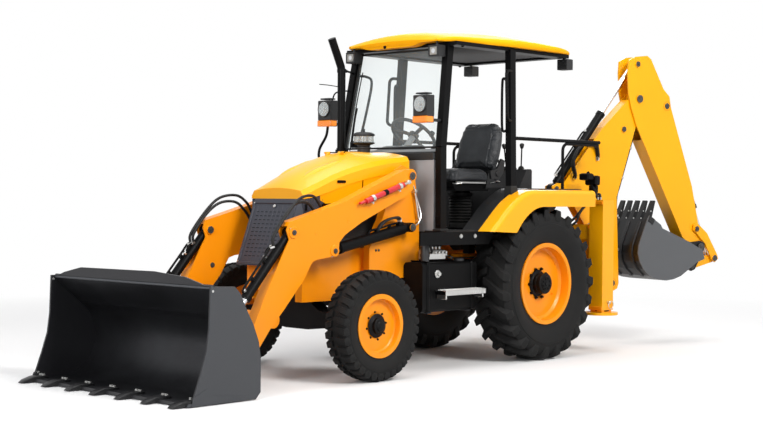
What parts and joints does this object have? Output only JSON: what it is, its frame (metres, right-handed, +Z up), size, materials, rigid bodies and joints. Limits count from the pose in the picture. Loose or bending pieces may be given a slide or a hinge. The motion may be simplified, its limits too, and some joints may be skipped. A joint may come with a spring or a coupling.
{
  "type": "backhoe loader",
  "caption": "A yellow backhoe loader with an open canopy, a wide front loader bucket on two arms and a folded digging arm on a sliding carriage at the rear.",
  "frame": {"origin": "The middle of the length and width, on the ground.", "axes": "+X points to the front of the machine, +Y to its left and +Z up."},
  "size_m": [6.4274, 1.7889, 2.6677],
  "materials": {
    "yellow_paint": "semi_gloss",
    "black_paint": "satin",
    "grey_paint": "satin",
    "worn_steel": "matte",
    "tyre_rubber": "matte",
    "black_plastic": "matte",
    "vinyl": "matte",
    "chrome_rod": "polished",
    "screen": "gloss",
    "cast_engine": "matte"
  },
  "bodies": {
    "chassis": {"chassis_frame": "yellow_paint", "engine_block": "cast_engine", "front_axle": "black_paint", "rear_axle": "black_paint", "hood_cowl": "yellow_paint", "nose_grille": "grey_paint", "exhaust_stack": "black_paint", "air_precleaner": "black_plastic", "fuel_tank": "black_paint", "hydraulic_tank": "black_paint", "cab_floor": "black_paint", "fenders": "yellow_paint", "fender_covers": "black_plastic", "canopy_frame": "black_paint", "canopy_roof": "yellow_paint", "windscreen": "screen", "dashboard": "black_plastic", "seat_base": "black_paint", "rear_console": "black_plastic", "rear_rails": "black_paint", "lamps": "black_plastic", "rear_frame": "yellow_paint"},
    "bonnet_body": {"bonnet": "yellow_paint"},
    "seat": {"seat_frame": "black_paint", "seat_cushion": "vinyl", "seat_back": "vinyl"},
    "steering": {"steering_wheel": "black_plastic"},
    "knuckle_l": {"knuckle_left": "black_paint"},
    "knuckle_r": {"knuckle_right": "black_paint"},
    "wheel_fl": {"rim_front_left": "yellow_paint", "tyre_front_left": "tyre_rubber"},
    "wheel_fr": {"rim_front_right": "yellow_paint", "tyre_front_right": "tyre_rubber"},
    "wheel_rl": {"rim_rear_left": "yellow_paint", "tyre_rear_left": "tyre_rubber"},
    "wheel_rr": {"rim_rear_right": "yellow_paint", "tyre_rear_right": "tyre_rubber"},
    "arms": {"loader_arms": "yellow_paint"},
    "lift_barrels": {"lift_ram_barrels": "black_paint"},
    "lift_rods": {"lift_ram_rods": "chrome_rod"},
    "crowd_barrels": {"crowd_ram_barrels": "black_paint"},
    "crowd_rods": {"crowd_ram_rods": "chrome_rod"},
    "bucket_front": {"loader_bucket": "worn_steel"},
    "stab_l": {"stabiliser_left": "yellow_paint"},
    "stab_r": {"stabiliser_right": "yellow_paint"},
    "shift_carriage": {"carriage": "yellow_paint"},
    "kingpost_body": {"kingpost": "yellow_paint"},
    "boom_body": {"boom": "yellow_paint"},
    "boom_barrel": {"boom_ram_barrel": "black_paint"},
    "boom_rod": {"boom_ram_rod": "chrome_rod"},
    "dipper_body": {"dipper": "yellow_paint"},
    "dipper_barrel": {"dipper_ram_barrel": "black_paint"},
    "dipper_rod": {"dipper_ram_rod": "chrome_rod"},
    "bucket_rear": {"backhoe_bucket": "worn_steel"},
    "tip_barrel": {"bucket_ram_barrel": "black_paint"},
    "tip_rod": {"bucket_ram_rod": "chrome_rod"},
    "lever": {"tipping_lever": "yellow_paint"},
    "link": {"tipping_link": "yellow_paint"}
  },
  "joints": [
    {"name": "rear_wheel_left", "type": "hinge", "parent": "chassis", "child": "wheel_rl", "pos_m": [-0.648, 0.606, 0.62], "axis": [0, 1, 0], "continuous": true},
    {"name": "rear_wheel_right", "type": "hinge", "parent": "chassis", "child": "wheel_rr", "pos_m": [-0.648, -0.606, 0.62], "axis": [0, 1, 0], "continuous": true},
    {"name": "steer_left", "type": "hinge", "parent": "chassis", "child": "knuckle_l", "pos_m": [1.348, 0.585, 0.397], "axis": [0, 0, 1], "range_deg": [-40, 40]},
    {"name": "steer_right", "type": "hinge", "parent": "chassis", "child": "knuckle_r", "pos_m": [1.348, -0.585, 0.397], "axis": [0, 0, 1], "range_deg": [-40, 40]},
    {"name": "front_wheel_left", "type": "hinge", "parent": "knuckle_l", "child": "wheel_fl", "pos_m": [1.348, 0.73, 0.397], "axis": [0, 1, 0], "continuous": true},
    {"name": "front_wheel_right", "type": "hinge", "parent": "knuckle_r", "child": "wheel_fr", "pos_m": [1.348, -0.73, 0.397], "axis": [0, 1, 0], "continuous": true},
    {"name": "steering_turn", "type": "hinge", "parent": "chassis", "child": "steering", "pos_m": [0.15503, 0, 1.79654], "axis": [-0.6585, 0, 0.7526], "range_deg": [-480, 480]},
    {"name": "bonnet_open", "type": "hinge", "parent": "chassis", "child": "bonnet_body", "pos_m": [1.0323, 0, 1.65], "axis": [0, -1, 0], "range_deg": [0, 50]},
    {"name": "seat_swivel", "type": "hinge", "parent": "chassis", "child": "seat", "pos_m": [-0.443, 0, 1.37], "axis": [0, 0, 1], "range_deg": [0, 180]},
    {"name": "loader_lift", "type": "hinge", "parent": "chassis", "child": "arms", "pos_m": [0.702, 0, 1.475], "axis": [0, -1, 0], "range_deg": [0, 80]},
    {"name": "lift_barrel_swing", "type": "hinge", "parent": "chassis", "child": "lift_barrels", "pos_m": [0.692, 0, 1.085], "axis": [0, -1, 0], "range_deg": [0, 71]},
    {"name": "lift_rod_slide", "type": "slide", "parent": "lift_barrels", "child": "lift_rods", "axis": [0.9814, 0, -0.1917], "range_m": [0, 0.49]},
    {"name": "loader_tilt", "type": "hinge", "parent": "arms", "child": "bucket_front", "pos_m": [2.302, 0, 0.25], "axis": [0, 1, 0], "range_deg": [-25, 85]},
    {"name": "crowd_barrel_swing", "type": "hinge", "parent": "arms", "child": "crowd_barrels", "pos_m": [1.912, 0, 1.062], "axis": [0, 1, 0], "range_deg": [-2, 5]},
    {"name": "crowd_rod_slide", "type": "slide", "parent": "crowd_barrels", "child": "crowd_rods", "axis": [0.6635, 0, -0.7482], "range_m": [-0.1, 0.34]},
    {"name": "stabiliser_left_down", "type": "slide", "parent": "chassis", "child": "stab_l", "axis": [0, 0, -1], "range_m": [0, 0.33]},
    {"name": "stabiliser_right_down", "type": "slide", "parent": "chassis", "child": "stab_r", "axis": [0, 0, -1], "range_m": [0, 0.33]},
    {"name": "side_shift", "type": "slide", "parent": "chassis", "child": "shift_carriage", "axis": [0, 1, 0], "range_m": [-0.762, 0]},
    {"name": "boom_slew", "type": "hinge", "parent": "shift_carriage", "child": "kingpost_body", "pos_m": [-1.845, 0.381, 0.515], "axis": [0, 0, 1], "range_deg": [-75, 105]},
    {"name": "boom_lift", "type": "hinge", "parent": "kingpost_body", "child": "boom_body", "pos_m": [-1.98989, 0.41982, 0.56], "axis": [-0.2588, -0.9659, 0], "range_deg": [0, 90]},
    {"name": "boom_barrel_swing", "type": "hinge", "parent": "kingpost_body", "child": "boom_barrel", "pos_m": [-1.78704, 0.36547, 0.9], "axis": [-0.2588, -0.9659, 0], "range_deg": [0, 92]},
    {"name": "boom_rod_slide", "type": "slide", "parent": "boom_barrel", "child": "boom_rod", "axis": [-0.2891, 0.0775, 0.9542], "range_m": [0, 0.58]},
    {"name": "dipper_swing", "type": "hinge", "parent": "boom_body", "child": "dipper_body", "pos_m": [-2.26035, 0.49229, 2.212], "axis": [0.2588, 0.9659, 0], "range_deg": [0, 95]},
    {"name": "dipper_barrel_swing", "type": "hinge", "parent": "boom_body", "child": "dipper_barrel", "pos_m": [-1.3717, 0.25418, 1.4], "axis": [0.2588, 0.9659, 0], "range_deg": [0, 4]},
    {"name": "dipper_rod_slide", "type": "slide", "parent": "dipper_barrel", "child": "dipper_rod", "axis": [-0.602, 0.1613, 0.782], "range_m": [-0.46, 0]},
    {"name": "hoe_bucket_tilt", "type": "hinge", "parent": "dipper_body", "child": "bucket_rear", "pos_m": [-2.9703, 0.68252, 0.875], "axis": [0.2588, 0.9659, 0], "range_deg": [0, 150]},
    {"name": "lever_swing", "type": "hinge", "parent": "dipper_body", "child": "lever", "pos_m": [-2.92201, 0.66958, 1.042], "axis": [0.2588, 0.9659, 0], "range_deg": [0, 86]},
    {"name": "link_swing", "type": "hinge", "parent": "bucket_rear", "child": "link", "pos_m": [-2.86888, 0.65535, 0.7], "axis": [0.2588, 0.9659, 0], "range_deg": [-80, 0]},
    {"name": "tip_barrel_swing", "type": "hinge", "parent": "dipper_body", "child": "tip_barrel", "pos_m": [-2.5791, 0.5777, 2.16], "axis": [0.2588, 0.9659, 0], "range_deg": [0, 15]},
    {"name": "tip_rod_slide", "type": "slide", "parent": "tip_barrel", "child": "tip_rod", "axis": [-0.3742, 0.1003, -0.9219], "range_m": [-0.38, 0]}
  ],
  "couplings": [
    {"joint": "steer_right", "follows": "steer_left", "ratio": 1},
    {"joint": "steering_turn", "follows": "steer_left", "ratio": 12},
    {"joint": "lift_barrel_swing", "follows": "loader_lift", "ratio": 0.8812},
    {"joint": "lift_rod_slide", "follows": "loader_lift", "m_per_rad": 0.34686},
    {"joint": "crowd_barrel_swing", "follows": "loader_tilt", "ratio": 0.0498},
    {"joint": "crowd_rod_slide", "follows": "loader_tilt", "m_per_rad": 0.22619},
    {"joint": "boom_barrel_swing", "follows": "boom_lift", "ratio": 1.016},
    {"joint": "boom_rod_slide", "follows": "boom_lift", "m_per_rad": 0.36505},
    {"joint": "dipper_barrel_swing", "follows": "dipper_swing", "ratio": 0.0363},
    {"joint": "dipper_rod_slide", "follows": "dipper_swing", "m_per_rad": -0.27243},
    {"joint": "lever_swing", "follows": "hoe_bucket_tilt", "ratio": 0.561},
    {"joint": "link_swing", "follows": "hoe_bucket_tilt", "ratio": -0.512},
    {"joint": "tip_barrel_swing", "follows": "hoe_bucket_tilt", "ratio": 0.092},
    {"joint": "tip_rod_slide", "follows": "hoe_bucket_tilt", "m_per_rad": -0.14}
  ]
}
